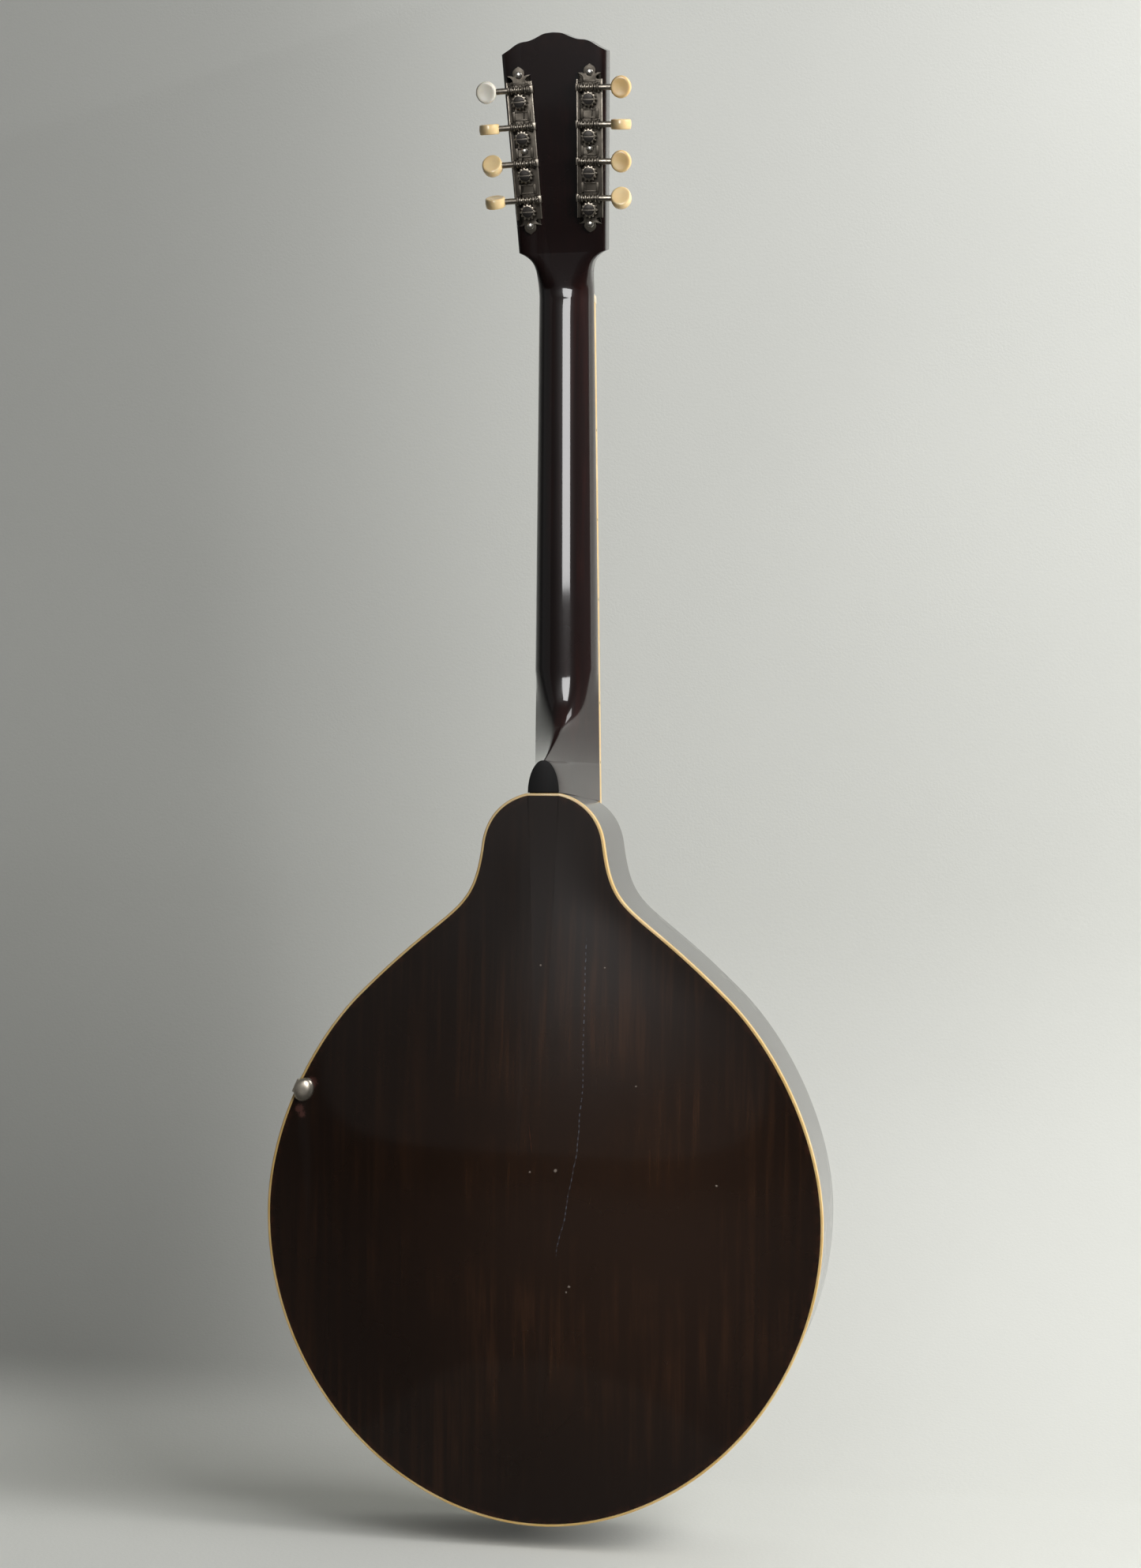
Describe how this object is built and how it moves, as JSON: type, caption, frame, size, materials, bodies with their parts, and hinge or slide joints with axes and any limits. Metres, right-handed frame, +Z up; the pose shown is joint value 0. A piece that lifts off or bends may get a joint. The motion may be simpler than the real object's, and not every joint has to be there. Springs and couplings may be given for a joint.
{
  "type": "mandocello",
  "caption": "Carved-top mandocello with a round body, oval sound hole, paired strings, worm-and-gear tuners, wire trapeze tailpiece and a clamped raised pickguard.",
  "frame": {"origin": "middle of the neck just below the shoulders of the headstock, where a wall hanger's yoke takes it", "axes": "+Z up the neck, +Y out of the back, +X towards the treble side"},
  "size_m": [0.3588, 0.1252, 0.9704],
  "materials": {
    "lacquer": "dark red-brown gloss lacquer over figured wood, lightly scratched",
    "rib_lacquer": "dark gloss lacquer",
    "neck_lacquer": "dark gloss lacquer",
    "soundboard": "stained spruce under gloss lacquer",
    "inner_wood": "bare spruce and maple",
    "ebony": "oiled ebony",
    "veneer": "black gloss veneer",
    "ivory_binding": "aged ivory-coloured celluloid",
    "bone": null,
    "nickel": "nickel plate with light wear",
    "tortoise": "dark tortoise-coloured celluloid",
    "worn_nickel": "worn nickel plate",
    "worm_nickel": "nickel plate",
    "button_cream": "cream celluloid, slightly yellowed",
    "wound_bronze": "bronze-wound string",
    "plain_steel": "plain steel string"
  },
  "bodies": {
    "body": {"top_plate": "soundboard", "back_plate": "lacquer", "rib_treble": "rib_lacquer", "rib_bass": "rib_lacquer", "top_binding": "ivory_binding", "back_binding": "ivory_binding", "top_lining": "inner_wood", "back_lining": "inner_wood", "neck_block": "inner_wood", "end_block": "inner_wood", "top_brace": "inner_wood", "soundhole_ring": "ivory_binding", "neck": "neck_lacquer", "heel_cap": "ebony", "fretboard": "ebony", "fretboard_binding": "ivory_binding", "nut": "bone", "bridge": "ebony", "tailpiece_bracket": "nickel", "tailpiece_frame": "nickel", "tailpiece_block": "ebony", "end_pin": "ebony", "pickguard": "tortoise", "pickguard_clamp": "nickel", "clamp_screw": "nickel", "string_c1": "wound_bronze", "string_c2": "wound_bronze", "string_g1": "wound_bronze", "string_g2": "wound_bronze", "string_d1": "plain_steel", "string_d2": "plain_steel", "string_a1": "plain_steel", "string_a2": "plain_steel", "headstock_veneer": "veneer", "tuner_plate_treble": "nickel", "tuner_plate_bass": "nickel"},
    "tuner_treble_1_gear": {"post_treble_1": "worn_nickel"},
    "tuner_treble_1_worm": {"worm_shaft_treble_1": "worm_nickel", "button_treble_1": "button_cream"},
    "tuner_treble_2_gear": {"post_treble_2": "worn_nickel"},
    "tuner_treble_2_worm": {"worm_shaft_treble_2": "worm_nickel", "button_treble_2": "button_cream"},
    "tuner_treble_3_gear": {"post_treble_3": "worn_nickel"},
    "tuner_treble_3_worm": {"worm_shaft_treble_3": "worm_nickel", "button_treble_3": "button_cream"},
    "tuner_treble_4_gear": {"post_treble_4": "worn_nickel"},
    "tuner_treble_4_worm": {"worm_shaft_treble_4": "worm_nickel", "button_treble_4": "button_cream"},
    "tuner_bass_1_gear": {"post_bass_1": "worn_nickel"},
    "tuner_bass_1_worm": {"worm_shaft_bass_1": "worm_nickel", "button_bass_1": "button_cream"},
    "tuner_bass_2_gear": {"post_bass_2": "worn_nickel"},
    "tuner_bass_2_worm": {"worm_shaft_bass_2": "worm_nickel", "button_bass_2": "button_cream"},
    "tuner_bass_3_gear": {"post_bass_3": "worn_nickel"},
    "tuner_bass_3_worm": {"worm_shaft_bass_3": "worm_nickel", "button_bass_3": "button_cream"},
    "tuner_bass_4_gear": {"post_bass_4": "worn_nickel"},
    "tuner_bass_4_worm": {"worm_shaft_bass_4": "worm_nickel", "button_bass_4": "button_cream"}
  },
  "joints": [
    {"name": "gear_spin_treble_1", "type": "hinge", "parent": "body", "child": "tuner_treble_1_gear", "pos_m": [0.02269, 0.03843, 0.11007], "axis": [0, 0.9613, -0.2756], "continuous": true},
    {"name": "worm_spin_treble_1", "type": "hinge", "parent": "body", "child": "tuner_treble_1_worm", "pos_m": [0.02294, 0.04518, 0.11583], "axis": [0.9994, -0.0096, -0.0335], "continuous": true},
    {"name": "gear_spin_treble_2", "type": "hinge", "parent": "body", "child": "tuner_treble_2_gear", "pos_m": [0.02188, 0.03204, 0.08779], "axis": [0, 0.9613, -0.2756], "continuous": true},
    {"name": "worm_spin_treble_2", "type": "hinge", "parent": "body", "child": "tuner_treble_2_worm", "pos_m": [0.02213, 0.03879, 0.09354], "axis": [0.9994, -0.0096, -0.0335], "continuous": true},
    {"name": "gear_spin_treble_3", "type": "hinge", "parent": "body", "child": "tuner_treble_3_gear", "pos_m": [0.02107, 0.02565, 0.0655], "axis": [0, 0.9613, -0.2756], "continuous": true},
    {"name": "worm_spin_treble_3", "type": "hinge", "parent": "body", "child": "tuner_treble_3_worm", "pos_m": [0.02132, 0.0324, 0.07126], "axis": [0.9994, -0.0096, -0.0335], "continuous": true},
    {"name": "gear_spin_treble_4", "type": "hinge", "parent": "body", "child": "tuner_treble_4_gear", "pos_m": [0.02026, 0.01926, 0.04321], "axis": [0, 0.9613, -0.2756], "continuous": true},
    {"name": "worm_spin_treble_4", "type": "hinge", "parent": "body", "child": "tuner_treble_4_worm", "pos_m": [0.02051, 0.02601, 0.04897], "axis": [0.9994, -0.0096, -0.0335], "continuous": true},
    {"name": "gear_spin_bass_1", "type": "hinge", "parent": "body", "child": "tuner_bass_1_gear", "pos_m": [-0.02269, 0.03843, 0.11007], "axis": [0, 0.9613, -0.2756], "continuous": true},
    {"name": "worm_spin_bass_1", "type": "hinge", "parent": "body", "child": "tuner_bass_1_worm", "pos_m": [-0.02294, 0.04518, 0.11583], "axis": [0.9994, 0.0096, 0.0335], "continuous": true},
    {"name": "gear_spin_bass_2", "type": "hinge", "parent": "body", "child": "tuner_bass_2_gear", "pos_m": [-0.02188, 0.03204, 0.08779], "axis": [0, 0.9613, -0.2756], "continuous": true},
    {"name": "worm_spin_bass_2", "type": "hinge", "parent": "body", "child": "tuner_bass_2_worm", "pos_m": [-0.02213, 0.03879, 0.09354], "axis": [0.9994, 0.0096, 0.0335], "continuous": true},
    {"name": "gear_spin_bass_3", "type": "hinge", "parent": "body", "child": "tuner_bass_3_gear", "pos_m": [-0.02107, 0.02565, 0.0655], "axis": [0, 0.9613, -0.2756], "continuous": true},
    {"name": "worm_spin_bass_3", "type": "hinge", "parent": "body", "child": "tuner_bass_3_worm", "pos_m": [-0.02132, 0.0324, 0.07126], "axis": [0.9994, 0.0096, 0.0335], "continuous": true},
    {"name": "gear_spin_bass_4", "type": "hinge", "parent": "body", "child": "tuner_bass_4_gear", "pos_m": [-0.02026, 0.01926, 0.04321], "axis": [0, 0.9613, -0.2756], "continuous": true},
    {"name": "worm_spin_bass_4", "type": "hinge", "parent": "body", "child": "tuner_bass_4_worm", "pos_m": [-0.02051, 0.02601, 0.04897], "axis": [0.9994, 0.0096, 0.0335], "continuous": true}
  ],
  "couplings": [
    {"joint": "gear_spin_treble_1", "follows": "worm_spin_treble_1", "ratio": -0.083333},
    {"joint": "gear_spin_treble_2", "follows": "worm_spin_treble_2", "ratio": -0.083333},
    {"joint": "gear_spin_treble_3", "follows": "worm_spin_treble_3", "ratio": -0.083333},
    {"joint": "gear_spin_treble_4", "follows": "worm_spin_treble_4", "ratio": -0.083333},
    {"joint": "gear_spin_bass_1", "follows": "worm_spin_bass_1", "ratio": -0.083333},
    {"joint": "gear_spin_bass_2", "follows": "worm_spin_bass_2", "ratio": -0.083333},
    {"joint": "gear_spin_bass_3", "follows": "worm_spin_bass_3", "ratio": -0.083333},
    {"joint": "gear_spin_bass_4", "follows": "worm_spin_bass_4", "ratio": -0.083333}
  ]
}
